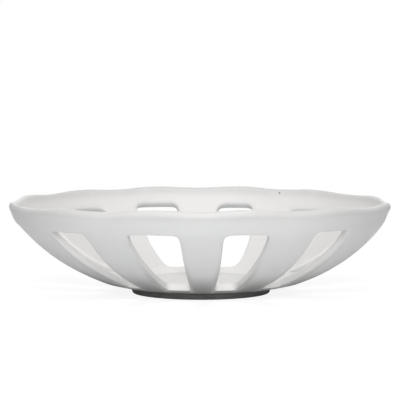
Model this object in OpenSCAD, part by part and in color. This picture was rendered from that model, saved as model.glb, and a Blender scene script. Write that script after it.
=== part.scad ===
// Stoneware fruit bowl with tall windows cut through its wall, in millimetres, +Z up.
// The origin is on the table, under the middle of the bowl, and the front of the bowl faces -Y.
// Each part of the pot is its own solid: the foot, the floor, the ribs between the windows and the rim.

/* [Foot] */
// Outer radius of the foot where it meets the underside of the bowl
foot_radius = 70.5; // [60:0.5:85]
// Height of the foot
foot_height = 6; // [3:0.5:10]
// Width of the foot ring at its top
foot_width = 11; // [7:0.5:20]
// How far each side of the foot draws in towards the table
foot_draw = 1.5; // [0:0.5:3]

/* [Wall] */
// Thickness of the floor and the wall
wall_thickness = 8.5; // [6:0.5:11]
// Angle of the wall from level where it leaves the foot
foot_angle = 4; // [2:0.5:8]
// Radius of the curve at the base of the wall
base_radius = 99; // [85:1:120]
// Angle at which the base curve gives way to the lower one
base_angle = 21; // [19:0.5:24]
// Radius of the lower curve of the wall
lower_radius = 226; // [200:1:260]
// Angle at which the lower curve gives way to the middle one
lower_angle = 31.5; // [28:0.5:35]
// Radius of the middle curve of the wall
middle_radius = 174; // [150:1:200]
// Angle at which the middle curve gives way to the upper one
middle_angle = 50.5; // [47:0.5:53]
// Radius of the upper curve of the wall
upper_radius = 47; // [35:1:75]
// Angle of the wall under the lip
upper_angle = 64; // [60:0.5:70]

/* [Windows] */
// Number of windows, and of the ribs between them
window_count = 12; // [8:1:14]
// Width of each window, as an angle round the bowl
window_angle = 14.5; // [9:0.5:18]
// Height of the window sills above the foot, on the outside of the wall
sill_rise = 5; // [3:0.5:9]
// Height of the window heads above the foot, on the outside of the wall
head_rise = 65.5; // [56:0.5:69]
// Radius of the upper corners of each window
corner_radius = 6; // [3:0.5:9]

/* [Lip] */
// Thickness of the rounded lip
lip_thickness = 9.5; // [8.5:0.5:12]
// Length of the straight wall between the upper curve and the middle of the lip
lip_straight = 9.8; // [6:0.2:12]
// How far the lip stands higher at the front and back, and lower at the sides
lip_sway = 2; // [0:0.1:4]
// How far the lip rises over each window and dips over each rib
lip_wave = 0.8; // [0:0.1:2]
// How far the lip swells outwards over each window and draws in over each rib
lip_swell = 0.8; // [0:0.1:2]

/* [Hidden] */
$fn = 180;
glaze = [0.93, 0.93, 0.92];
bare_clay = [0.3, 0.3, 0.29];

// The front of the bowl and the even spacing of the windows, in degrees round +Z
front = -90;
pitch = 360 / window_count;
// How far each hand-cut window lies from its even place, in degrees, from the left of the front
window_drift = [2, 1.5, -1.5, -2, 1, 2, 4.5, 1, 0.5, -1.5, -3, -5];
left_window_count = 1.5;

// Middles of the four curves of the wall, as radius and height
base_middle = [foot_radius, foot_height] - base_radius * outward(foot_angle);
lower_middle = base_middle + (base_radius - lower_radius) * outward(base_angle);
middle_middle = lower_middle + (lower_radius - middle_radius) * outward(lower_angle);
upper_middle = middle_middle + (middle_radius - upper_radius) * outward(middle_angle);

// The slopes at which the ribs and the windows begin and end, on either face of the wall
head_height = foot_height + head_rise;
seat_height = head_height - corner_radius;
sill_slope = slope_at(foot_height + sill_rise, 0);
head_slope = slope_at(head_height, 0);
seat_slope_outside = slope_at(seat_height, 0);
seat_slope_inside = slope_at(seat_height, wall_thickness);
corner_angle = corner_radius / wall_point(head_slope, 0)[0] * 180 / PI;

// Middle of the lip's round, before the sway
lip_middle = wall_point(upper_angle, wall_thickness / 2) + lip_straight * along(upper_angle);
// Directions of the points round the lip, from its outer side to its inner side
lip_turns = [-80, -50, -20, 10, 40, 70];

// Steps up the wall below the sills, up the ribs and up the rim
sill_steps = 4;
wall_steps = 12;
rim_steps = 3;
// Steps of the rim across a rib, a window corner and a window head
rib_steps = 4;
corner_steps = 3;
head_steps = 4;

function rib_name(i) = str("rib_", i < 10 ? "0" : "", i);

// Unit directions in the section of the wall at a slope: out of the wall, and up along it
function outward(slope) = [sin(slope), -cos(slope)];
function along(slope) = [cos(slope), sin(slope)];

// Point of the wall at a slope, at a depth under its outer face, as radius and height
function wall_point(slope, depth) =
    slope < base_angle ? base_middle + (base_radius - depth) * outward(slope) :
    slope < lower_angle ? lower_middle + (lower_radius - depth) * outward(slope) :
    slope < middle_angle ? middle_middle + (middle_radius - depth) * outward(slope) :
    upper_middle + (upper_radius - depth) * outward(slope);

// Slope of the wall at a height, at a depth under its outer face
function curve_slope(middle, radius, height) = acos((middle[1] - height) / radius);
function slope_at(height, depth) =
    height < wall_point(base_angle, depth)[1] ? curve_slope(base_middle, base_radius - depth, height) :
    height < wall_point(lower_angle, depth)[1] ? curve_slope(lower_middle, lower_radius - depth, height) :
    height < wall_point(middle_angle, depth)[1] ? curve_slope(middle_middle, middle_radius - depth, height) :
    curve_slope(upper_middle, upper_radius - depth, height);

// Angle of the middle of a window, and of the two sides of the rib before it
function drift(i) = window_drift[(i % window_count) % len(window_drift)];
function window_middle(i) = front + (i - left_window_count) * pitch + drift(i);
function rib_start(i) = window_middle(i - 1) + window_angle / 2;
function rib_end(i) = window_middle(i) - window_angle / 2;

// Wave of the lip at an angle: 1 over the middle of a window and -1 over the middle of a rib
wave_places = [for (i = [0:window_count + 1]) [window_middle(i), i]];
function wave(angle) = cos(360 * lookup(angle, wave_places));

// Angle and opening of each step round the rim: 0 on a rib, 1 under a window head
function rib_ring(i, u) = [rib_start(i) + (rib_end(i) - rib_start(i)) * u, 0];
function corner_ring(edge, side, u) = [edge + side * corner_angle * (1 - cos(90 * u)), sin(90 * u)];
function head_ring(i, u) =
    [rib_end(i) + corner_angle + (window_angle - 2 * corner_angle) * u, 1];
rim_rings = [
    for (i = [1:window_count]) each concat(
        [for (s = [0:rib_steps - 1]) rib_ring(i, s / rib_steps)],
        [for (s = [0:corner_steps - 1]) corner_ring(rib_end(i), 1, s / corner_steps)],
        [for (s = [0:head_steps - 1]) head_ring(i, s / head_steps)],
        [for (s = [0:corner_steps - 1]) corner_ring(rib_start(i + 1), -1, 1 - s / corner_steps)]
    )
];

// Points up one face of the wall between two slopes
function wall_face(low_slope, high_slope, depth, steps) =
    [for (s = [0:steps]) wall_point(low_slope + (high_slope - low_slope) * s / steps, depth)];
function reversed(list) = [for (i = [len(list) - 1:-1:0]) list[i]];

// Section of the rim at one step, up the outer face, over the lip and down the inner face
function lip_point(turn) =
    lip_middle + lip_thickness / 2 * (cos(turn) * along(upper_angle) - sin(turn) * outward(upper_angle));
function seat_to_head(seat_slope, opening) = seat_slope + (head_slope - seat_slope) * opening;
function rim_section(opening) = concat(
    wall_face(seat_to_head(seat_slope_outside, opening), upper_angle, 0, rim_steps),
    [for (turn = lip_turns) lip_point(turn)],
    reversed(wall_face(seat_to_head(seat_slope_inside, opening), upper_angle, wall_thickness, rim_steps))
);

// A point of the rim with its share of the sway, which grows with its height above the ribs
function rim_shift(angle) =
    [lip_swell * wave(angle), lip_sway * cos(2 * (angle - front)) + lip_wave * wave(angle)];
function swayed(point, angle) =
    point + rim_shift(angle) * (point[1] - seat_height) / (lip_middle[1] - seat_height);
function turned(point, angle) = [point[0] * cos(angle), point[0] * sin(angle), point[1]];

// Low ring of bare clay under the floor
module foot_ring() {
    color(bare_clay) rotate_extrude() polygon([
        [foot_radius - foot_width, foot_height],
        [foot_radius - foot_width + foot_draw, 0],
        [foot_radius - foot_draw, 0],
        [foot_radius, foot_height]
    ]);
}

// Flat floor with the start of the wall, up to the window sills
module floor_dish() {
    outside = wall_face(foot_angle, sill_slope, 0, sill_steps);
    inside = wall_face(foot_angle, sill_slope, wall_thickness, sill_steps);
    color(glaze) rotate_extrude()
        polygon(concat([[0, foot_height]], outside, reversed(inside), [[0, inside[0][1]]]));
}

// Strap of wall between two windows, from the sills to a level seat under the rim
module rib(i) {
    outside = wall_face(sill_slope, seat_slope_outside, 0, wall_steps);
    inside = wall_face(sill_slope, seat_slope_inside, wall_thickness, wall_steps);
    color(glaze) rotate([0, 0, rib_start(i)])
        rotate_extrude(angle = rib_end(i) - rib_start(i)) polygon(concat(outside, reversed(inside)));
}

// Band above the windows, with their rounded heads and the waved lip
module rim_band() {
    sections = [for (ring = rim_rings) [for (p = rim_section(ring[1])) turned(swayed(p, ring[0]), ring[0])]];
    ring_count = len(sections);
    ring_points = len(sections[0]);
    color(glaze) polyhedron(
        points = [for (section = sections) each section],
        faces = [
            for (r = [0:ring_count - 1], p = [0:ring_points - 1])
                let (next_r = (r + 1) % ring_count, next_p = (p + 1) % ring_points)
                each [
                    [r * ring_points + p, r * ring_points + next_p, next_r * ring_points + next_p],
                    [r * ring_points + p, next_r * ring_points + next_p, next_r * ring_points + p]
                ]
        ]
    );
}

foot_ring();
floor_dish();
rim_band();
for (i = [1:window_count]) rib(i);
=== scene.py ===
"""Stoneware fruit bowl with windows cut through its wall: a glazed pot, its bare foot and a plain studio."""

import logging
import math
from dataclasses import dataclass, field
from enum import Enum
from typing import Union

import bmesh
import bpy
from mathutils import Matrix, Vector


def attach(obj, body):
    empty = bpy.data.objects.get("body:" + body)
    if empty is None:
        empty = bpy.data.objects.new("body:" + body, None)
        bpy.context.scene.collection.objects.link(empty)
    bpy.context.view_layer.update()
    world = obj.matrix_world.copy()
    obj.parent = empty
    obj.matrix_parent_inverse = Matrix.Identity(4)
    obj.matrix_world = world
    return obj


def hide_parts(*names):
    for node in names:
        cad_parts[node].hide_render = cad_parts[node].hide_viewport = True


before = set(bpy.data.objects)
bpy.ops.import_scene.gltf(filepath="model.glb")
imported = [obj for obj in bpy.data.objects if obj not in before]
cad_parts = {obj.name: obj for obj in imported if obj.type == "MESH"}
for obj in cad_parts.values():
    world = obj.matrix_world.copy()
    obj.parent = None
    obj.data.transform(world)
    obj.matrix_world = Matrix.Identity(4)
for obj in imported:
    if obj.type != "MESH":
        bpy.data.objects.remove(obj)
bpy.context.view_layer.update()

LOG = logging.getLogger("fruit_bowl")
MM = 0.001
# Half a step between whole numbers, for tests on numbered rows, columns and parts
HALF = 0.5
# Mean value of a noise
NOISE_MIDDLE = 0.5
# Degrees in a quarter turn
QUARTER = 90
# Radius of the ring where the wall begins to rise out of the floor, in millimetres
FLOOR_RING = 57.0
# Attribute of the mesh that says how much painted shade lies over the sides of the windows
EDGE_SHADE = "painted_edge_shade"

Operand = Union[float, "Value"]
Socket = bpy.types.NodeSocket
Material = bpy.types.Material
Object = bpy.types.Object
Mesh = bpy.types.Mesh
Colour = tuple[float, float, float, float]
Mixed = Union[Socket, "Value", Colour]
Place = tuple[float, float, float]
Table = tuple[float, ...]
# Radius and height of a point of a section
Point = tuple[float, float]
# Where a smooth step begins and ends
Span = tuple[float, float]
# Scale, detail and roughness of a noise
Noise = tuple[float, float, float]
# Brightness, as a share of the finish's own, and warmth
Tint = tuple[float, float]


class Value:
    """A number that varies over a surface: an output socket that takes part in Python expressions."""

    def __init__(self, nodes: "Nodes", socket: Socket) -> None:
        """Wraps one output socket of a tree."""
        self.nodes = nodes
        self.socket = socket

    def math(self, operation: str, *others: Operand) -> "Value":
        """Result of a Math node on this value and further operands."""
        return self.nodes.math(operation, self, *others)

    def __add__(self, other: Operand) -> "Value":
        """Sum."""
        return self.math("ADD", other)

    def __radd__(self, other: Operand) -> "Value":
        """Sum with a plain number on the left."""
        return self.nodes.math("ADD", other, self)

    def __sub__(self, other: Operand) -> "Value":
        """Difference."""
        return self.math("SUBTRACT", other)

    def __rsub__(self, other: Operand) -> "Value":
        """Difference from a plain number."""
        return self.nodes.math("SUBTRACT", other, self)

    def __mul__(self, other: Operand) -> "Value":
        """Product."""
        return self.math("MULTIPLY", other)

    def __rmul__(self, other: Operand) -> "Value":
        """Product with a plain number on the left."""
        return self.nodes.math("MULTIPLY", other, self)

    def __truediv__(self, other: Operand) -> "Value":
        """Quotient."""
        return self.math("DIVIDE", other)

    def __rtruediv__(self, other: Operand) -> "Value":
        """Quotient of a plain number."""
        return self.nodes.math("DIVIDE", other, self)

    def __lt__(self, other: Operand) -> "Value":
        """One where this is less, and zero elsewhere."""
        return self.math("LESS_THAN", other)

    def __gt__(self, other: Operand) -> "Value":
        """One where this is greater, and zero elsewhere."""
        return self.math("GREATER_THAN", other)

    def ramp(self, low: float, high: float) -> "Value":
        """Smooth step from 0 at low to 1 at high, which may be below low."""
        sockets = {"Value": self, "From Min": low, "From Max": high}
        return self.nodes.value("ShaderNodeMapRange", sockets, interpolation_type="SMOOTHSTEP")


class Mix(Enum):
    """Data types of a Mix node, with the places of its two inputs and of its result."""

    VECTOR = (4, 5, 1)
    RGBA = (6, 7, 2)


class Nodes:
    """Adds nodes to one tree, of a material, of the world or of Geometry Nodes."""

    def __init__(self, tree: bpy.types.NodeTree) -> None:
        """Works on an empty tree."""
        self.tree = tree

    def add(self, kind: str, sockets: dict | None = None, **settings: str) -> bpy.types.Node:
        """Adds one node.

        Args:
            kind: The node's type.
            sockets: Values or links of its inputs, by name or by place.
            settings: Properties of the node, which are set first.

        Returns:
            The node.
        """
        node = self.tree.nodes.new(kind)
        for name, setting in settings.items():
            setattr(node, name, setting)
        for key, source in (sockets or {}).items():
            if isinstance(source, Value):
                source = source.socket
            if isinstance(source, Socket):
                self.tree.links.new(source, node.inputs[key])
            else:
                node.inputs[key].default_value = source
        return node

    def first(self, kind: str, sockets: dict | None = None, **settings: str) -> Socket:
        """Adds one node and returns its first output."""
        return self.add(kind, sockets, **settings).outputs[0]

    def value(self, kind: str, sockets: dict | None = None, output: int | str = 0, **settings: str) -> Value:
        """Adds one node and wraps one of its outputs, by name or by place."""
        return Value(self, self.add(kind, sockets, **settings).outputs[output])

    def math(self, operation: str, *operands: Operand) -> Value:
        """Adds one Math node and wraps its result."""
        return self.value("ShaderNodeMath", dict(enumerate(operands)), operation=operation)

    def noise(self, place: Socket, size: Noise) -> Value:
        """Adds a noise over a place."""
        sockets = dict(zip(("Scale", "Detail", "Roughness"), size))
        return self.value("ShaderNodeTexNoise", {"Vector": place, **sockets})

    def pick(self, index: Value, numbers: list[float] | Table) -> Value:
        """Takes a number out of a list, in Geometry Nodes.

        Args:
            index: Place in the list.
            numbers: The list.

        Returns:
            The number at that place.
        """
        node = self.add("GeometryNodeIndexSwitch", {"Index": index}, data_type="FLOAT")
        while len(node.index_switch_items) < len(numbers):
            node.index_switch_items.new()
        for place, number in enumerate(numbers):
            node.inputs[place + 1].default_value = number
        return Value(self, node.outputs[0])

    def mix(self, share: Operand, first: Mixed, second: Mixed, kind: Mix = Mix.RGBA) -> Socket:
        """Mixes two colours or two vectors, by the share of the second."""
        a, b, out = kind.value
        return self.add("ShaderNodeMix", {0: share, a: first, b: second}, data_type=kind.name).outputs[out]

    def surface(self, bump: dict, sockets: dict) -> None:
        """Adds the shader of a material.

        Args:
            bump: Sockets of the bump under the surface.
            sockets: The shader's other sockets.
        """
        normal = self.first("ShaderNodeBump", bump)
        shader = self.first("ShaderNodeBsdfPrincipled", {**sockets, "Normal": normal})
        self.add("ShaderNodeOutputMaterial", {"Surface": shader})

    def store(
        self, geometry: Socket, name: str, source: Operand, kind: str = "FLOAT", domain: str = "POINT",
        chosen: Socket | bool = True,
    ) -> Socket:
        """Stores an attribute on a mesh, on all of its points or faces or on the chosen ones."""
        sockets = {"Geometry": geometry, "Selection": chosen, "Name": name, "Value": source}
        return self.first("GeometryNodeStoreNamedAttribute", sockets, data_type=kind, domain=domain)

    def stored(self, name: str, kind: str = "FLOAT") -> Value:
        """Reads an attribute that was stored on a mesh."""
        return self.value("GeometryNodeInputNamedAttribute", {"Name": name}, data_type=kind)


class Slot(Enum):
    """Material slots of the part's record."""

    GLAZE = "white_glaze"
    CLAY = "bare_clay"


def grey(level: float, warmth: float = 0.0) -> Colour:
    """A grey of a brightness in linear light, whose red stands above its blue by a share, the warmth."""
    return (level * (1 + warmth / 2), level, level * (1 - warmth / 2), 1.0)


def between(low: Value, high: Value, share: Value) -> Value:
    """Number at a share of the way from one number to another."""
    return low * (1 - share) + high * share


def emptied(owner: Material | bpy.types.World) -> Nodes:
    """Empties the tree of a material or of the world.

    Args:
        owner: What the tree belongs to.

    Returns:
        The nodes of the tree.
    """
    owner.use_nodes = True
    owner.node_tree.nodes.clear()
    return Nodes(owner.node_tree)


def placed(name: str, data: bpy.types.ID) -> Object:
    """Makes an object of a mesh, a lamp or a camera, and adds it to the scene.

    Args:
        name: Name of the object.
        data: What it shows.

    Returns:
        The object.
    """
    made = bpy.data.objects.new(name, data)
    bpy.context.scene.collection.objects.link(made)
    return made


def stand_in(piece: Object, node: str, slot: Slot) -> None:
    """Shows a piece in the place of a CAD node.

    Args:
        piece: The piece.
        node: Name of the node that it stands for.
        slot: Material slot that its finish belongs to; not used.
    """
    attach(piece, "root")
    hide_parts(node)


@dataclass(frozen=True)
class GlazeFinish:
    """Satin white glaze, uneven like a dipped coat, with painted shade at the lip, low down, along the
    windows and towards the back of the floor, and painted warm light on faces that look up.

    Heights, radii and depths are in millimetres, and each tint is a share of the level.
    """

    level: float = 0.80
    roughness: float = 0.5
    roughness_spread: float = 0.16
    refraction: float = 1.5
    specular: float = 0.35
    bump_strength: float = 0.10
    bump_depth: float = 0.4
    peel_share: float = 0.35
    cloud: Noise = (11.0, 2.0, 0.5)
    mottle: Noise = (60.0, 3.0, 0.55)
    peel: Noise = (420.0, 2.0, 0.5)
    cloud_span: Span = (0.35, 0.65)
    mottle_span: Span = (0.56, 0.74)
    mottle_share: float = 0.35
    upward: Span = (-0.3, 0.4)
    downward: Span = (-0.2, -0.6)
    flat: Span = (0.9, 0.98)
    lip_heights: Span = (83.0, 92.0)
    # Painted shade low down under the pot
    underside_shade_heights: Span = (33.0, 9.0)
    underside_shade_stray: float = 8.0
    # Painted shade along the sides of the windows
    edge_shade_span: Span = (0.0, 0.95)
    edge_shade_heights: Span = (48.0, 16.0)
    edge_shade_least: float = 0.15
    floor_radius: float = FLOOR_RING
    # Painted shade on the floor towards its back and at the wall's ring
    back_floor_shade_start: float = 0.2
    back_floor_shade_least: float = 0.3
    back_floor_shade_edge: Span = (1.5, -0.5)
    back_floor_shade_lean: Span = (-1.0, 0.6)
    speck_scale: float = 42.0
    speck_span: Span = (0.030, 0.016)
    speck_lot: float = 0.955
    speck_share: float = 0.5
    lip_speck: Place = (85.5, 160.2, 89.3)
    lip_speck_span: Span = (1.9, 0.9)
    lip_speck_share: float = 0.85
    cool_tint: Tint = (0.985, -0.012)
    pale_tint: Tint = (1.005, 0.004)
    lit_top_tint: Tint = (1.0, 0.03)
    # Painted shade at the lip
    shaded_lip_tint: Tint = (0.87, 0.02)
    mottle_tint: Tint = (0.975, 0.01)
    underside_shade_tint: Tint = (0.455, 0.03)
    edge_shade_tint: Tint = (0.68, 0.03)
    back_floor_shade_tint: Tint = (0.86, 0.02)
    iron: Tint = (0.125, 0.2)

    def tint(self, tint: Tint) -> Colour:
        """Colour of a tint of the glaze."""
        return grey(self.level * tint[0], tint[1])

    def material(self) -> Material:
        """Builds the glaze's material.

        Returns:
            The material.
        """
        made = bpy.data.materials.new(Slot.GLAZE.value)
        nodes = emptied(made)
        place = nodes.add("ShaderNodeTexCoord").outputs["Object"]
        normal = nodes.add("ShaderNodeNewGeometry").outputs["Normal"]
        height = nodes.value("ShaderNodeSeparateXYZ", {0: place}, "Z") / MM
        facing = nodes.value("ShaderNodeSeparateXYZ", {0: normal}, "Z")
        cloud, mottle, peel = (nodes.noise(place, size) for size in (self.cloud, self.mottle, self.peel))

        # Painted shade low down on the faces that look down, darkest near the foot
        underside_shade = (height + (cloud - NOISE_MIDDLE) * self.underside_shade_stray).ramp(*self.underside_shade_heights)
        # Painted shade along the outer sides of the windows, deeper low down
        edge_shade_share = nodes.value("ShaderNodeAttribute", output="Fac", attribute_name=EDGE_SHADE).ramp(*self.edge_shade_span)
        edge_shade_low = height.ramp(*self.edge_shade_heights) * (1 - self.edge_shade_least) + self.edge_shade_least
        coat = nodes.mix(cloud.ramp(*self.cloud_span), self.tint(self.cool_tint), self.tint(self.pale_tint))
        for share, tint in (
            # Painted warm light on the faces that look up
            (facing.ramp(*self.upward), self.lit_top_tint),
            # Painted shade: the lip is greyer towards its top
            (height.ramp(*self.lip_heights), self.shaded_lip_tint),
            (mottle.ramp(*self.mottle_span) * self.mottle_share, self.mottle_tint),
            (underside_shade * facing.ramp(*self.downward), self.underside_shade_tint),
            (edge_shade_share * edge_shade_low, self.edge_shade_tint),
            # Painted shade on the floor, towards its back and at the ring where the wall begins
            (self.back_floor_shade(nodes, place) * facing.ramp(*self.flat), self.back_floor_shade_tint),
            (self.specks(nodes, place), self.iron),
        ):
            coat = nodes.mix(share, coat, self.tint(tint))

        relief = peel * self.peel_share + mottle * (1 - self.peel_share)
        nodes.surface(
            {"Strength": self.bump_strength, "Distance": self.bump_depth * MM, "Height": relief},
            {
                "Base Color": coat,
                "Roughness": self.roughness + (mottle - NOISE_MIDDLE) * self.roughness_spread,
                "IOR": self.refraction,
                "Specular IOR Level": self.specular,
            },
        )
        return made

    def back_floor_shade(self, nodes: Nodes, place: Socket) -> Value:
        """Painted shade on the floor, darker towards the back and up to the ring where the wall begins.

        Args:
            nodes: The material's nodes.
            place: Object coordinates.

        Returns:
            Share of the painted shade's colour.
        """
        axes = nodes.add("ShaderNodeSeparateXYZ", {0: place}).outputs
        x, y = (Value(nodes, axes[name]) / MM for name in "XY")
        radius = (x * x + y * y).math("SQRT")
        deepening = radius.ramp(self.floor_radius * self.back_floor_shade_start, self.floor_radius)
        deepening = deepening * (1 - self.back_floor_shade_least) + self.back_floor_shade_least
        ring = radius.ramp(*(self.floor_radius + end for end in self.back_floor_shade_edge))
        return deepening * ring * y.ramp(*(self.floor_radius * end for end in self.back_floor_shade_lean))

    def specks(self, nodes: Nodes, place: Socket) -> Value:
        """Pin-sized iron specks that burn through the glaze here and there, with one larger on the lip.

        Args:
            nodes: The material's nodes.
            place: Object coordinates.

        Returns:
            Share of the speck's colour.
        """
        cells = nodes.add("ShaderNodeTexVoronoi", {"Vector": place, "Scale": self.speck_scale}).outputs
        near = Value(nodes, cells["Distance"]).ramp(*self.speck_span)
        lot = nodes.value("ShaderNodeSeparateColor", {0: cells["Color"]}) > self.speck_lot
        middle = tuple(axis * MM for axis in self.lip_speck)
        distance = nodes.value("ShaderNodeVectorMath", {0: place, 1: middle}, "Value", operation="DISTANCE")
        on_lip = distance.ramp(*(end * MM for end in self.lip_speck_span)) * self.lip_speck_share
        return (near * lot * self.speck_share).math("MAXIMUM", on_lip)


@dataclass(frozen=True)
class ClayFinish:
    """Bare grey stoneware with a fine grain and a paler dust where it rubs on the table.

    Heights and depths are in millimetres, and each tint is a share of the level.
    """

    level: float = 0.29
    roughness: float = 0.86
    roughness_spread: float = 0.2
    specular: float = 0.3
    bump_strength: float = 0.5
    bump_depth: float = 0.4
    grain_bump: float = 0.6
    cloud: Noise = (38.0, 3.0, 0.6)
    grain: Noise = (900.0, 2.0, 0.6)
    grit_scale: float = 520.0
    cloud_span: Span = (0.3, 0.7)
    grain_span: Span = (0.58, 0.75)
    grain_share: float = 0.6
    dust_heights: Span = (0.9, 0.1)
    dust_span: Span = (0.35, 0.7)
    dust_share: float = 0.4
    dark_tint: Tint = (0.86, 0.03)
    pale_tint: Tint = (1.12, 0.01)
    grain_tint: Tint = (1.6, 0.03)
    dust_tint: Tint = (1.3, 0.04)

    def tint(self, tint: Tint) -> Colour:
        """Colour of a tint of the clay."""
        return grey(self.level * tint[0], tint[1])

    def material(self) -> Material:
        """Builds the bare clay's material.

        Returns:
            The material.
        """
        made = bpy.data.materials.new(Slot.CLAY.value)
        nodes = emptied(made)
        place = nodes.add("ShaderNodeTexCoord").outputs["Object"]
        height = nodes.value("ShaderNodeSeparateXYZ", {0: place}, "Z") / MM
        cloud, grain = (nodes.noise(place, size) for size in (self.cloud, self.grain))
        grit = nodes.value("ShaderNodeTexVoronoi", {"Vector": place, "Scale": self.grit_scale}, "Distance")

        dust = height.ramp(*self.dust_heights) * cloud.ramp(*self.dust_span) * self.dust_share
        body = nodes.mix(cloud.ramp(*self.cloud_span), self.tint(self.dark_tint), self.tint(self.pale_tint))
        for share, tint in (
            (grain.ramp(*self.grain_span) * self.grain_share, self.grain_tint),
            (dust, self.dust_tint),
        ):
            body = nodes.mix(share, body, self.tint(tint))

        relief = grain * self.grain_bump + grit * (1 - self.grain_bump)
        nodes.surface(
            {"Strength": self.bump_strength, "Distance": self.bump_depth * MM, "Height": relief},
            {
                "Base Color": body,
                "Roughness": self.roughness + (grain - NOISE_MIDDLE) * self.roughness_spread,
                "Specular IOR Level": self.specular,
            },
        )
        return made


@dataclass(frozen=True)
class WallCurve:
    """Section of the wall: four curves that run into each other from the foot to the lip, in millimetres."""

    foot_radius: float = 70.5
    foot_height: float = 6.0
    thickness: float = 8.5
    angles: Table = (4.0, 21.0, 31.5, 50.5, 64.0)
    radii: Table = (99.0, 226.0, 174.0, 47.0)

    def middles(self) -> list[Point]:
        """Finds the middles of the curves.

        Returns:
            Radius and height of each middle.
        """
        found = []
        radius, height = self.foot_radius, self.foot_height
        for start, end, bend in zip(self.angles, self.angles[1:], self.radii):
            low, high = math.radians(start), math.radians(end)
            middle = (radius - bend * math.sin(low), height + bend * math.cos(low))
            found.append(middle)
            radius, height = middle[0] + bend * math.sin(high), middle[1] - bend * math.cos(high)
        return found

    def point(self, slope: float, depth: float) -> Point:
        """Point of the wall.

        Args:
            slope: Angle of the wall from level there.
            depth: Depth under the outer face.

        Returns:
            Radius and height.
        """
        curve = sum(slope >= angle for angle in self.angles[1:-1])
        radius, height = self.middles()[curve]
        bend, turn = self.radii[curve] - depth, math.radians(slope)
        return radius + bend * math.sin(turn), height - bend * math.cos(turn)

    def slope_at(self, height: float, depth: float) -> float:
        """Angle of the wall from level at a height above the table, at a depth under its outer face."""
        curve = sum(height >= self.point(angle, depth)[1] for angle in self.angles[1:-1])
        return math.degrees(math.acos((self.middles()[curve][1] - height) / (self.radii[curve] - depth)))


@dataclass(frozen=True)
class Stray:
    """How far one side of each window strays from its even place at its sill and its head, in degrees."""

    low: Table
    high: Table


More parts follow.
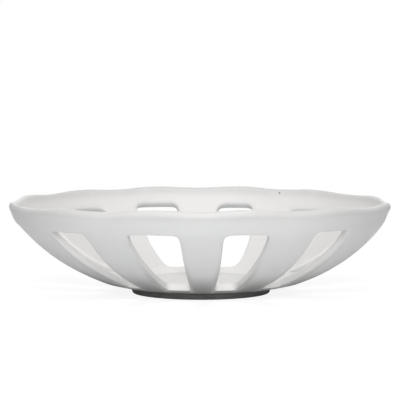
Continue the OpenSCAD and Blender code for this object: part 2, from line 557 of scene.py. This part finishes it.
@dataclass
class GlazedPot:
    """The pot above its foot: floor, ribs between the windows, and rim with its waved lip.

    Lengths are in millimetres and angles in degrees. The section's points are rows, numbered from the middle
    of the floor up the outer face, over the lip and down the inner face. Each window has a sector of columns:
    rib, softened edge, window, softened edge, rib.
    """

    wall: WallCurve = field(default_factory=WallCurve)
    window_count: int = 12
    window_angle: float = 14.0
    sill_height: float = 11.5
    seat_height: float = 65.5
    head_height: float = 70.3
    corner_reach: float = 6.0
    sill_corner_reach: float = 2.4
    inner_corner_reach: float = 9.0
    corner_cut: float = 0.25
    corner_room: float = 0.3
    floor_radius: float = FLOOR_RING
    floor_middle: float = 32.0
    groove_width: float = 6.0
    groove_depth: float = 0.9
    base_slope: float = 9.0
    outer_sill_step: float = 1.4
    inner_sill_step: float = 3.4
    rib_rows: int = 7
    lip_thickness: float = 9.2
    lip_straight: float = 9.8
    lip_step: int = 30
    lip_sway: float = 2.0
    lip_wave: float = 0.8
    lip_swell: float = 0.8
    edge_softness: float = 3.4
    low_edge_softness: float = 7.5
    inner_softness: float = 7.5
    inner_head_softness: float = 6.2
    softness_room: float = 0.42
    side_loops: Table = (0.28, 1.0)
    seam_gap: float = 0.02
    joint_gap: float = 0.05
    unevenness: float = 0.3
    swell: Noise = (21.0, 1.0, 0.5)
    swell_middle: float = 0.6
    belly_radii: Table = (72.0, 90.0, 108.0, 125.0, 139.0, 156.0, 176.0, 181.0, 185.0, 187.5, 189.5)
    right_belly: Table = (0.0, 3.4, 4.7, 4.9, 3.8, 2.8, 1.9, 0.8, -0.6, -1.4, -1.8)
    left_belly: Table = (0.0, 0.9, 1.2, 1.4, 1.4, 1.4, 2.2, 2.3, 2.1, 1.4, 0.0)
    detail: int = 2
    steps: int = 11
    first_edge: int = 3
    second_edge: int = 8
    opening_share: Table = (0, 0, 0.5, 1, 1, 1, 1, 1, 1, 0.5, 0)
    window_share: Table = (0, 0, 0, 0, 0, 0.34, 0.66, 1, 1, 1, 1)
    left_rib_share: Table = (1, 0.62, 0, 0, 0, 0, 0, 0, 0, 0, 0)
    right_rib_share: Table = (0, 0, 0, 0, 0, 0, 0, 0, 0, 0, 0.62)
    shade_beside_edge: float = 0.2
    stray_beside_edge: float = 0.75
    sill_row: int = 8
    seat_row: int = 16
    head_row: int = 17
    front: float = -90.0
    windows_left_of_front: float = 1.5
    drift: Table = (2, 1.5, -1.5, -2, 1, 2, 4.5, 1, 0.5, -1.5, -3, -5)
    left_stray: Stray = Stray(
        low=(3.2, 0.8, 1.0, 0.3, 4.5, -0.3, 0.5, -2.6, 0.6, -0.4, 4.0, 1.5),
        high=(-2.0, -2.2, 0.0, -0.2, 4.0, -0.4, 0.2, 2.2, -0.6, -0.8, 3.5, -0.2),
    )
    right_stray: Stray = Stray(
        low=(-0.6, 0.8, -0.5, 1.2, -3.0, -4.0, -0.4, 0.8, 0.5, 0.2, -0.6, -4.0),
        high=(-0.6, 0.2, 0.3, 0.4, 0.5, -3.5, 0.6, 1.2, 1.2, 0.3, 0.2, -2.5),
    )
    sill_drop: Table = (0.0, 0.0, 0.0, 0.0, 1.0, 2.0, 3.5, 5.0, 5.0, 3.5, 2.0, 1.0)
    head_rise: Table = (-0.5, 0.2, 0.4, 1.2, 0.5, 0.0, -3.4, 0.9, 2.2, -1.9, 0.5, 0.0)
    lip_lift: Table = (-1.0, -0.7, -0.4, 0.0, 0.8, 0.9, 0.2, -0.3, -0.3, 0.6, 1.4, 0.5)

    def lip_middle(self) -> Point:
        """Finds the middle of the lip's round.

        Returns:
            Radius and height.
        """
        top = self.wall.angles[-1]
        radius, height = self.wall.point(top, self.wall.thickness / 2)
        turn = math.radians(top)
        return radius + self.lip_straight * math.cos(turn), height + self.lip_straight * math.sin(turn)

    def face_rows(self, depth: float) -> list[Point]:
        """Points up one face of the pot, from the middle of the floor to the straight wall under the lip.

        Args:
            depth: Depth of the face under the outer one.

        Returns:
            Radius and height of each point.
        """
        wall = self.wall
        inner = depth > 0
        soft = self.inner_softness if inner else self.edge_softness
        head_soft = self.inner_head_softness if inner else self.edge_softness
        dip = self.groove_depth if inner else 0.0
        sill = wall.slope_at(self.sill_height, 0)
        above_sill = sill + (self.inner_sill_step if inner else self.outer_sill_step)
        seat = wall.slope_at(self.seat_height, depth)
        head = wall.slope_at(self.head_height, 0)
        low, top = wall.angles[0], wall.angles[-1]
        slopes = [low, self.base_slope, sill - math.degrees(soft / wall.radii[0]), sill, above_sill]
        slopes += [above_sill + (seat - above_sill) * row / self.rib_rows for row in range(1, self.rib_rows)]
        slopes += [seat, head, head + math.degrees(head_soft / (wall.radii[-1] - depth)), top]

        flat = wall.point(low, depth)[1]
        ring, side = self.floor_radius, self.groove_width / 2
        rows = [(0.0, flat), (self.floor_middle, flat)]
        rows += [(ring - side, flat), (ring, flat - dip), (ring + side, flat)]
        rows += [wall.point(slope, depth) for slope in slopes]
        radius, height = wall.point(top, depth)
        half, turn = self.lip_straight / 2, math.radians(top)
        return rows + [(radius + half * math.cos(turn), height + half * math.sin(turn))]

    def lip_rows(self) -> list[Point]:
        """Points over the lip, from its outer to its inner side, spread so that they smooth to its round.

        Returns:
            Radius and height of each point.
        """
        radius, height = self.lip_middle()
        # Smoothing draws each point of a round in to this share of its radius
        drawn_in = (4 + 2 * math.cos(math.radians(self.lip_step))) / 6
        bend = self.lip_thickness / 2 / drawn_in
        first = self.wall.angles[-1] - QUARTER
        turns = [math.radians(first + turn) for turn in range(0, 2 * QUARTER + 1, self.lip_step)]
        return [(radius + bend * math.cos(turn), height + bend * math.sin(turn)) for turn in turns]

    def inputs(self) -> dict[str, float]:
        """Named inputs of the tree with their sizes."""
        return {
            "Window Angle": self.window_angle,
            "Corner Reach": self.corner_reach,
            "Sill Corner Reach": self.sill_corner_reach,
            "Inner Corner Reach": self.inner_corner_reach,
            "Lip Sway": self.lip_sway,
            "Lip Wave": self.lip_wave,
            "Lip Swell": self.lip_swell,
            "Edge Softness": self.edge_softness,
            "Low Edge Softness": self.low_edge_softness,
            "Inner Softness": self.inner_softness,
            "Unevenness": self.unevenness,
        }

    def tree(self, finish: Material) -> bpy.types.NodeTree:
        """Geometry Nodes that turn the section, cut the windows, wave the lip and smooth the whole.

        Args:
            finish: Material of the pot.

        Returns:
            The node tree.
        """
        tree = bpy.data.node_groups.new("pot_with_windows", "GeometryNodeTree")
        tree.is_modifier = True
        tree.interface.new_socket("Pot", in_out="OUTPUT", socket_type="NodeSocketGeometry")
        for name in self.inputs():
            tree.interface.new_socket(name, in_out="INPUT", socket_type="NodeSocketFloat")
        nodes = Nodes(tree)
        given = nodes.add("NodeGroupInput").outputs
        size = {socket.name: Value(nodes, socket) for socket in given if socket.name}

        section = self.face_rows(0.0) + self.lip_rows() + self.face_rows(self.wall.thickness)[::-1]
        last = len(section) - 1
        counts = {"Vertices X": self.steps * self.window_count + 1, "Vertices Y": last + 1}
        geometry = nodes.add("GeometryNodeMeshGrid", counts).outputs["Mesh"]
        index = nodes.value("GeometryNodeInputIndex")
        column = (index / (last + 1)).math("FLOOR")
        row = index - column * (last + 1)

        far_side = self.place(nodes, size, section, column, last - row)
        position = self.place(nodes, size, section, column, row)
        geometry = nodes.store(geometry, "row", row)
        geometry = nodes.store(geometry, "column", column)
        geometry = nodes.store(geometry, EDGE_SHADE, self.painted_edge_shade(nodes, row, column))
        geometry = nodes.store(geometry, "far_side", far_side, "FLOAT_VECTOR")
        geometry = nodes.first("GeometryNodeSetPosition", {"Geometry": geometry, "Position": position})
        geometry = self.cut_windows(nodes, geometry, last)
        geometry = self.join_faces(nodes, geometry, last)
        geometry = self.soften(nodes, geometry, size["Unevenness"])
        geometry = nodes.first("GeometryNodeRealizeInstances", {"Geometry": geometry})
        geometry = nodes.first("GeometryNodeSetMaterial", {"Geometry": geometry, "Material": finish})
        nodes.add("NodeGroupOutput", {0: geometry})
        return tree

    def sector_step(self, column: Value) -> tuple[Value, Value]:
        """Number of a column's sector, and of its step in that sector."""
        sector = (column / self.steps).math("FLOOR")
        return sector, column - sector * self.steps

    def at_steps(self, nodes: Nodes, step: Value, shares: dict[int, float]) -> Value:
        """Share of each step of a sector, which is 0 at the steps that are not named."""
        return nodes.pick(step, [shares.get(i, 0.0) for i in range(self.steps)])

    def painted_edge_shade(self, nodes: Nodes, row: Value, column: Value) -> Value:
        """Where painted shade lies over the outer sides of the windows: one on the edge itself.

        Args:
            nodes: The tree's nodes.
            row: Number of the row along the section.
            column: Number of the column round the pot.

        Returns:
            The share of painted shade.
        """
        step = self.sector_step(column)[1]
        shares = {
            self.first_edge - 1: self.shade_beside_edge,
            self.first_edge: 1.0,
            self.second_edge: 1.0,
            self.second_edge + 1: self.shade_beside_edge,
        }
        beside_window = (row > self.sill_row - 1 - HALF) * (row < self.head_row - HALF)
        return self.at_steps(nodes, step, shares) * beside_window

    def place(
        self, nodes: Nodes, size: dict[str, Value], section: list[Point], column: Value, row: Value
    ) -> Value:
        """Place of one point of the pot.

        Args:
            nodes: The tree's nodes.
            size: The tree's inputs.
            section: Radius and height of each row.
            column: Number of the column round the pot.
            row: Number of the row along the section.

        Returns:
            The place, in metres.
        """
        last = len(section) - 1
        level = row.math("MINIMUM", last - row)
        sector, step = self.sector_step(column)
        radius, height, cut = self.section_point(nodes, section, row, step)
        up = (level - self.sill_row) / (self.head_row - self.sill_row)
        up = up.math("MAXIMUM", 0.0).math("MINIMUM", 1.0)
        angle = self.column_angle(nodes, size, sector, step, radius, up, cut, row > last / 2)
        wave, lift = self.lip_shape(nodes, sector, angle)

        turn = angle * (math.pi / 180)
        share = ((height - self.seat_height) / (self.lip_middle()[1] - self.seat_height)).math("MAXIMUM", 0.0)
        sway = (turn * 2 - math.radians(2 * self.front)).math("COSINE") * size["Lip Sway"]
        radius = radius + share * wave * size["Lip Swell"]
        height = height + share * (sway + wave * size["Lip Wave"] + lift)
        for strays, edge_row, outward, edge_height in (
            (self.head_rise, self.head_row, 1, self.head_height),
            (self.sill_drop, self.sill_row, -1, self.sill_height),
        ):
            shares = {edge_row: 1.0, edge_row + outward: self.stray_beside_edge}
            at_edge = nodes.pick(level, [shares.get(i, 0.0) for i in range(last // 2 + 1)])
            move = nodes.pick(sector, [*strays, strays[0]]) * nodes.pick(step, self.opening_share) * at_edge
            slope = math.radians(self.wall.slope_at(edge_height, 0))
            radius = radius + move * (outward * math.cos(slope))
            height = height + move * (outward * math.sin(slope))
        for side, belly in ((1, self.right_belly), (-1, self.left_belly)):
            facing = (turn.math("COSINE") * side).math("MAXIMUM", 0.0)
            radius = radius + facing * facing * nodes.pick(row, self.bulges(section, belly))
        x, y = (radius * turn.math(axis) * MM for axis in ("COSINE", "SINE"))
        return nodes.value("ShaderNodeCombineXYZ", {"X": x, "Y": y, "Z": height * MM})

    def bulges(self, section: list[Point], belly: Table) -> list[float]:
        """How far each row stands out at one side of the pot.

        Args:
            section: Radius and height of each row.
            belly: Bulge of the wall at each of the belly's radii.

        Returns:
            The bulge of each row.
        """
        found = []
        for radius, _ in section:
            at = min(max(radius, self.belly_radii[0]), self.belly_radii[-1])
            spans = zip(self.belly_radii, self.belly_radii[1:], belly, belly[1:])
            low, high, first, second = next(span for span in spans if span[0] <= at <= span[1])
            found.append(first + (second - first) * (at - low) / (high - low))
        return found

    def section_point(
        self, nodes: Nodes, section: list[Point], row: Value, step: Value
    ) -> tuple[Value, Value, Value]:
        """Radius and height of a point before the lip's wave, with the windows' corners cut off.

        Args:
            nodes: The tree's nodes.
            section: Radius and height of each row.
            row: Number of the row.
            step: Place of the column in its window's sector.

        Returns:
            The radius, the height and the share by which corners are cut off in the row.
        """
        last = len(section) - 1
        cut, drawn = [0.0] * len(section), list(section)
        inner_head, inner_sill = last - self.head_row, last - self.sill_row
        for at, beside in (
            (self.head_row, self.head_row - 1), (inner_head, inner_head + 1), (inner_sill, inner_sill - 1)
        ):
            cut[at] = self.corner_cut
            drawn[at] = tuple(a + (b - a) * self.corner_cut for a, b in zip(section[at], section[beside]))
        at_corner = self.at_steps(nodes, step, {self.first_edge: 1.0, self.second_edge: 1.0})
        radius, height = (
            nodes.pick(row, [point[axis] for point in section])
            + at_corner * nodes.pick(row, [b[axis] - a[axis] for a, b in zip(section, drawn)])
            for axis in (0, 1)
        )
        return radius, height, nodes.pick(row, cut)

    def beside(
        self, nodes: Nodes, sector: Value, table: Table, first: float = 0.0, pitch: float = 0.0
    ) -> list[Value]:
        """Numbers of the window before a sector's own, of its own and of the next, plus an even rise."""
        numbers = [first + i * pitch + table[i % self.window_count] for i in range(-1, self.window_count + 2)]
        return [nodes.pick(sector + place, numbers) for place in range(3)]

    def window_middles(self, nodes: Nodes, sector: Value) -> list[Value]:
        """Angles of the middles of the window before a sector's own, of its own and of the next."""
        pitch = 360 / self.window_count
        return self.beside(nodes, sector, self.drift, self.front - self.windows_left_of_front * pitch, pitch)

    def strays(self, nodes: Nodes, sector: Value, up: Value, stray: Stray) -> list[Value]:
        """Strays of one side of the window before a sector's own, of its own and of the next."""
        low, high = (self.beside(nodes, sector, table) for table in (stray.low, stray.high))
        return [between(at_sill, at_head, up) for at_sill, at_head in zip(low, high)]

    def column_angle(
        self, nodes: Nodes, size: dict[str, Value], sector: Value, step: Value, radius: Value, up: Value,
        cut: Value, inner: Value,
    ) -> Value:
        """Angle of a column round the pot.

        Args:
            nodes: The tree's nodes.
            size: The tree's inputs.
            sector: Number of the window's sector.
            step: Place of the column in its sector.
            radius: Radius of the row.
            up: Place of the row between the sills, at 0, and the heads, at 1.
            cut: Share of the corner's reach by which a window's corners are cut off in this row.
            inner: One on the inner face and 0 on the outer one.

        Returns:
            The angle in degrees.
        """
        half = size["Window Angle"] / 2
        before, here, after = self.window_middles(nodes, sector)
        left_strays = self.strays(nodes, sector, up, self.left_stray)
        right_strays = self.strays(nodes, sector, up, self.right_stray)
        left, right = here - half + left_strays[1], here + half + right_strays[1]
        rib_left = (before + half + right_strays[0] + left) / 2
        rib_right = (after - half + left_strays[2] + right) / 2
        angle = left + (right - left) * nodes.pick(step, self.window_share)
        angle = angle + (rib_left - left) * nodes.pick(step, self.left_rib_share)
        angle = angle + (rib_right - right) * nodes.pick(step, self.right_rib_share)

        degrees = (180 / math.pi) / radius.math("MAXIMUM", self.wall.foot_radius)
        outer_soft = between(size["Low Edge Softness"], size["Edge Softness"], up)
        soft = outer_soft + (size["Inner Softness"] - outer_soft) * inner
        sill_reach = size["Sill Corner Reach"]
        sill_reach = sill_reach + (size["Inner Corner Reach"] - sill_reach) * inner
        reach = between(sill_reach, size["Corner Reach"], up) * degrees
        reach = reach.math("MINIMUM", (right - left) * self.corner_room)
        round_off = self.at_steps(nodes, step, {self.first_edge + 1: 1.0, self.second_edge - 1: -1.0})
        cut_off = self.at_steps(nodes, step, {self.first_edge: 1.0, self.second_edge: -1.0}) * cut
        angle = angle + reach * (round_off + cut_off)
        for edge_step, outward, room in (
            (self.first_edge - 1, -1, left - rib_left), (self.second_edge + 1, 1, rib_right - right)
        ):
            width = (soft * degrees).math("MINIMUM", room * self.softness_room)
            angle = angle + width * self.at_steps(nodes, step, {edge_step: outward})
        return angle

    def lip_shape(self, nodes: Nodes, sector: Value, angle: Value) -> tuple[Value, Value]:
        """Wave and lift of the lip at an angle.

        Args:
            nodes: The tree's nodes.
            sector: Number of the window's sector.
            angle: Angle round the pot, in degrees.

        Returns:
            The wave, from -1 over a rib to 1 over a window, and the lift, in millimetres.
        """
        before, here, after = self.window_middles(nodes, sector)
        lift_before, lift_here, lift_after = self.beside(nodes, sector, self.lip_lift)
        past = angle > here
        along = (angle - here) / between(here - before, after - here, past)
        lift_beside = between(lift_before, lift_after, past)
        lift = lift_here + (lift_beside - lift_here) * along.math("ABSOLUTE")
        return (along * (2 * math.pi)).math("COSINE"), lift

    def cut_windows(self, nodes: Nodes, geometry: Socket, last: int) -> Socket:
        """Numbers the faces by the clay part that they belong to, and takes the windows out.

        Args:
            nodes: The tree's nodes.
            geometry: The turned section.
            last: Number of the last row.

        Returns:
            The mesh, closed round the pot and open at the windows.
        """
        row = nodes.stored("row")
        level = row.math("MINIMUM", last - row)
        sector, step = self.sector_step(nodes.stored("column"))
        rib = sector + (step > self.steps / 2)
        rib = rib + (rib < HALF) * self.window_count
        on_floor, on_rim = level < self.sill_row, level > self.seat_row
        part = rib * (1 - on_floor) * (1 - on_rim) + on_rim * (self.window_count + 1)
        geometry = nodes.store(geometry, "clay_part", part, domain="FACE")

        open_columns = (step > self.first_edge) * (step < self.second_edge)
        open_rows = (level > self.sill_row) * (level < self.head_row)
        sockets = {"Geometry": geometry, "Selection": open_columns * open_rows}
        geometry = nodes.first("GeometryNodeDeleteGeometry", sockets, domain="FACE")
        seam = self.seam_gap * MM
        return nodes.first("GeometryNodeMergeByDistance", {"Geometry": geometry, "Distance": seam})

    def join_faces(self, nodes: Nodes, geometry: Socket, last: int) -> Socket:
        """Closes the thickness of the wall round each window.

        Args:
            nodes: The tree's nodes.
            geometry: The mesh, open at the windows.
            last: Number of the last row.

        Returns:
            The closed mesh.
        """
        lone = nodes.value("GeometryNodeInputMeshEdgeNeighbors") < 1 + HALF
        edges = (lone * (nodes.stored("row") < last / 2)).socket
        reached = 0.0
        for loop in self.side_loops:
            sockets = {"Mesh": geometry, "Selection": edges, "Offset Scale": 0.0}
            sides = nodes.add("GeometryNodeExtrudeMesh", sockets, mode="EDGES")
            edges = sides.outputs["Top"]
            share = (loop - reached) / (1 - reached)
            here, there = nodes.first("GeometryNodeInputPosition"), nodes.stored("far_side", "FLOAT_VECTOR")
            inward = nodes.mix(share, here, there, Mix.VECTOR)
            sockets = {"Geometry": sides.outputs["Mesh"], "Selection": edges, "Position": inward}
            geometry = nodes.first("GeometryNodeSetPosition", sockets)
            geometry = nodes.store(geometry, EDGE_SHADE, 0.0, chosen=edges)
            reached = loop
        joint = self.joint_gap * MM
        return nodes.first("GeometryNodeMergeByDistance", {"Geometry": geometry, "Distance": joint})

    def soften(self, nodes: Nodes, geometry: Socket, unevenness: Value) -> Socket:
        """Gives the wall the slight swell of hand-worked clay and rounds every edge.

        Args:
            nodes: The tree's nodes.
            geometry: The closed mesh.
            unevenness: Largest swell, in millimetres.

        Returns:
            The smooth mesh.
        """
        swell = nodes.noise(nodes.first("GeometryNodeInputPosition"), self.swell) - self.swell_middle
        sockets = {0: nodes.first("GeometryNodeInputNormal"), "Scale": swell * unevenness * (2 * MM)}
        offset = nodes.first("ShaderNodeVectorMath", sockets, operation="SCALE")
        geometry = nodes.first("GeometryNodeSetPosition", {"Geometry": geometry, "Offset": offset})
        geometry = nodes.first("GeometryNodeSubdivisionSurface", {"Mesh": geometry, "Level": self.detail})
        return nodes.first("GeometryNodeSetShadeSmooth", {"Geometry": geometry})

    def whole(self, finish: Material) -> Mesh:
        """Makes the pot in one mesh.

        Args:
            finish: Material of the pot.

        Returns:
            The mesh, with the number of its clay part on each face.
        """
        tree = self.tree(finish)
        holder = placed("pot", bpy.data.meshes.new("pot"))
        modifier = holder.modifiers.new("pot", "NODES")
        modifier.node_group = tree
        for socket in tree.interface.items_tree:
            if socket.in_out == "INPUT":
                modifier[socket.identifier] = self.inputs()[socket.name]
        mesh = bpy.data.meshes.new_from_object(holder.evaluated_get(bpy.context.evaluated_depsgraph_get()))
        bpy.data.objects.remove(holder)
        shape = bmesh.new()
        shape.from_mesh(mesh)
        bmesh.ops.recalc_face_normals(shape, faces=shape.faces)
        shape.to_mesh(mesh)
        shape.free()
        return mesh

    @staticmethod
    def part(whole: Mesh, number: int, node: str) -> Mesh:
        """One clay part of the pot, closed where it joins its neighbours.

        Args:
            whole: Mesh of the whole pot.
            number: The part's number on its faces.
            node: Name of the part's CAD node.

        Returns:
            The part's mesh.
        """
        shape = bmesh.new()
        shape.from_mesh(whole)
        shape.normal_update()
        smooth = shape.verts.layers.float_vector.new("smooth_normal")
        for vert in shape.verts:
            vert[smooth] = vert.normal
        layer = shape.faces.layers.float["clay_part"]
        others = [face for face in shape.faces if abs(face[layer] - number) > HALF]
        bmesh.ops.delete(shape, geom=others, context="FACES")
        lone = [edge for edge in shape.edges if edge.is_boundary]
        joints = bmesh.ops.holes_fill(shape, edges=lone, sides=0)["faces"]
        for face in bmesh.ops.triangulate(shape, faces=joints)["faces"]:
            face.smooth = False
        bmesh.ops.recalc_face_normals(shape, faces=shape.faces)
        shape.normal_update()
        normals = [
            vert[smooth].copy() if face.smooth else face.normal.copy()
            for face in shape.faces for vert in face.verts
        ]
        mesh = bpy.data.meshes.new(node)
        shape.to_mesh(mesh)
        shape.free()
        mesh.normals_split_custom_set(normals)
        for attribute in ("clay_part", "row", "column", "far_side", "smooth_normal"):
            mesh.attributes.remove(mesh.attributes[attribute])
        return mesh

    def build(self, finish: Material) -> list[Object]:
        """Makes the pot, parts it at the joints of its clay parts and dresses each part.

        Args:
            finish: Material of the pot.

        Returns:
            The floor, the ribs and the rim, each a closed mesh.
        """
        whole = self.whole(finish)
        ribs = [f"rib_{i:02d}" for i in range(1, self.window_count + 1)]
        pieces = []
        for number, node in enumerate(["floor_dish", *ribs, "rim_band"]):
            mesh = self.part(whole, number, node)
            mesh.materials.append(finish)
            pieces.append(placed(node + "_glazed", mesh))
            stand_in(pieces[-1], node, Slot.GLAZE)
        bpy.data.meshes.remove(whole)
        return pieces


@dataclass
class FootRing:
    """Low turned foot of bare clay under the pot, in millimetres and degrees."""

    radius: float = 70.5
    height: float = 6.0
    width: float = 11.0
    draw: float = 1.5
    side_height: float = 0.6
    edge: float = 1.8
    edge_step: int = 18
    turns: int = 192

    def section(self) -> list[Point]:
        """Points round the section, from the outer side over the table to the inner side.

        Returns:
            Radius and height of each point.
        """
        outer, inner = self.radius, self.radius - self.width
        draw, middle = self.draw * (1 - self.side_height), self.height * self.side_height
        points = [(outer, self.height), (outer - draw, middle)]
        for round_middle, first in (
            (outer - self.draw - self.edge, 0), (inner + self.draw + self.edge, -QUARTER)
        ):
            for step in range(0, QUARTER + 1, self.edge_step):
                turn = math.radians(first - step)
                radius = round_middle + self.edge * math.cos(turn)
                points.append((radius, self.edge + self.edge * math.sin(turn)))
        return points + [(inner + draw, middle), (inner, self.height)]

    def build(self, finish: Material) -> Object:
        """Turns the section into a closed ring and dresses it.

        Args:
            finish: Material of the foot.

        Returns:
            The foot.
        """
        shape = bmesh.new()
        rings = []
        for turn in range(self.turns):
            angle = 2 * math.pi * turn / self.turns
            x, y = math.cos(angle) * MM, math.sin(angle) * MM
            rings.append([shape.verts.new((r * x, r * y, height * MM)) for r, height in self.section()])
        for ring, following in zip(rings, rings[1:] + rings[:1]):
            for corners in zip(ring, ring[1:] + ring[:1], following[1:] + following[:1], following):
                shape.faces.new(corners).smooth = True
        bmesh.ops.recalc_face_normals(shape, faces=shape.faces)
        mesh = bpy.data.meshes.new("foot_ring")
        shape.to_mesh(mesh)
        shape.free()
        mesh.materials.append(finish)
        foot = placed("foot_ring_bare", mesh)
        stand_in(foot, "foot_ring", Slot.CLAY)
        return foot


@dataclass(frozen=True)
class Lamp:
    """One soft lamp: its power in watts, width and depth of its face, its place and the point it faces."""

    name: str
    power: float
    size: tuple[float, float]
    place: Place
    aim: Place = (0.0, 0.0, 0.05)

    def hang(self) -> None:
        """Adds the lamp to the scene."""
        data = bpy.data.lights.new(self.name, "AREA")
        data.energy = self.power
        data.shape = "RECTANGLE"
        data.size, data.size_y = self.size
        lamp = placed(self.name, data)
        lamp.location = self.place
        lamp.rotation_euler = (Vector(self.aim) - Vector(self.place)).to_track_quat("-Z", "Y").to_euler()


@dataclass
class Studio:
    """Plain pale floor, soft lamps and the camera, in metres, degrees and, for the sensor, millimetres."""

    camera_place: Place = (-0.001, -1.9, 0.217)
    camera_pitch: float = 3.75
    focal_pixels: float = 1904.0
    image_pixels: float = 400.0
    sensor_width: float = 36.0
    farthest_seen: float = 100.0
    floor_reach: Place = (2.2, 2.8, 0.9)
    floor_level: float = 0.88
    floor_shadow: float = 0.22
    floor_white: float = 1.145
    floor_gloss: float = 0.25
    ambient: float = 0.07
    lamps: tuple[Lamp, ...] = (
        Lamp("overhead", 8.6, (1.8, 1.8), (0.0, -0.1, 1.7)),
        Lamp("key", 13.0, (1.0, 1.0), (0.0, -1.0, 1.75)),
        Lamp("front", 22.4, (2.4, 0.6), (0.0, -2.1, 1.0)),
        Lamp("low_front", 5.4, (2.4, 0.6), (0.0, -2.3, 0.38), aim=(0.0, 0.0, 0.1)),
        Lamp("back", 9.0, (2.4, 0.6), (0.0, 2.1, 0.75)),
    )

    def camera(self) -> None:
        """Adds the camera at the viewing angle of the photograph."""
        data = bpy.data.cameras.new("camera")
        data.sensor_width = self.sensor_width
        data.lens = self.focal_pixels / self.image_pixels * self.sensor_width
        data.clip_end = self.farthest_seen
        camera = placed("camera", data)
        camera.location = self.camera_place
        camera.rotation_euler = (math.radians(QUARTER - self.camera_pitch), 0.0, 0.0)
        bpy.context.scene.camera = camera

    @staticmethod
    def seen(nodes: Nodes, glossy_share: float = 1.0) -> Value:
        """How white the background shows to a ray.

        Args:
            nodes: Nodes of the background.
            glossy_share: Share of the white that a reflection shows.

        Returns:
            One to the camera, straight or through a clear surface, and the share off a glossy surface.
        """
        path = nodes.add("ShaderNodeLightPath").outputs
        straight, clear, glossy = (
            Value(nodes, path[name]) for name in ("Is Camera Ray", "Is Transmission Ray", "Is Glossy Ray")
        )
        return straight.math("MAXIMUM", clear).math("MAXIMUM", glossy * glossy_share)

    def floor(self) -> Object:
        """Adds the floor, which shows white with a faint shadow and lights the bowl from below as pale grey.

        Returns:
            The floor.
        """
        side, front, back = self.floor_reach
        mesh = bpy.data.meshes.new("floor")
        corners = [(-side, -front, 0), (side, -front, 0), (side, back, 0), (-side, back, 0)]
        mesh.from_pydata(corners, [], [(0, 1, 2, 3)])
        material = bpy.data.materials.new("pale_floor")
        nodes = emptied(material)
        paper = nodes.first("ShaderNodeBsdfDiffuse", {"Color": grey(self.floor_level)})
        white = nodes.first("ShaderNodeEmission", {"Color": grey(1.0), "Strength": self.floor_white})
        share = self.seen(nodes, self.floor_gloss) * (1 - self.floor_shadow)
        mixed = nodes.first("ShaderNodeMixShader", {0: share, 1: paper, 2: white})
        nodes.add("ShaderNodeOutputMaterial", {"Surface": mixed})
        mesh.materials.append(material)
        return placed("floor", mesh)

    def light(self) -> None:
        """Adds the even light of the room, which shows white behind the bowl, and the lamps."""
        world = bpy.data.worlds.new("room")
        nodes = emptied(world)
        seen = self.seen(nodes)
        strength = seen + (1 - seen) * self.ambient
        room = nodes.first("ShaderNodeBackground", {"Color": grey(1.0), "Strength": strength})
        nodes.add("ShaderNodeOutputWorld", {"Surface": room})
        bpy.context.scene.world = world
        bpy.context.scene.view_settings.view_transform = "Standard"
        for lamp in self.lamps:
            lamp.hang()

    def build(self) -> None:
        """Sets the whole studio."""
        self.camera()
        self.floor()
        self.light()


def main() -> None:
    """Builds the bowl's parts in order and sets the studio."""
    logging.basicConfig(level=logging.INFO, format="%(message)s")
    glaze, clay = GlazeFinish().material(), ClayFinish().material()
    for piece in [*GlazedPot().build(glaze), FootRing().build(clay)]:
        LOG.info("%s: %d faces", piece.name, len(piece.data.polygons))
    Studio().build()


if __name__ == "__main__":
    main()
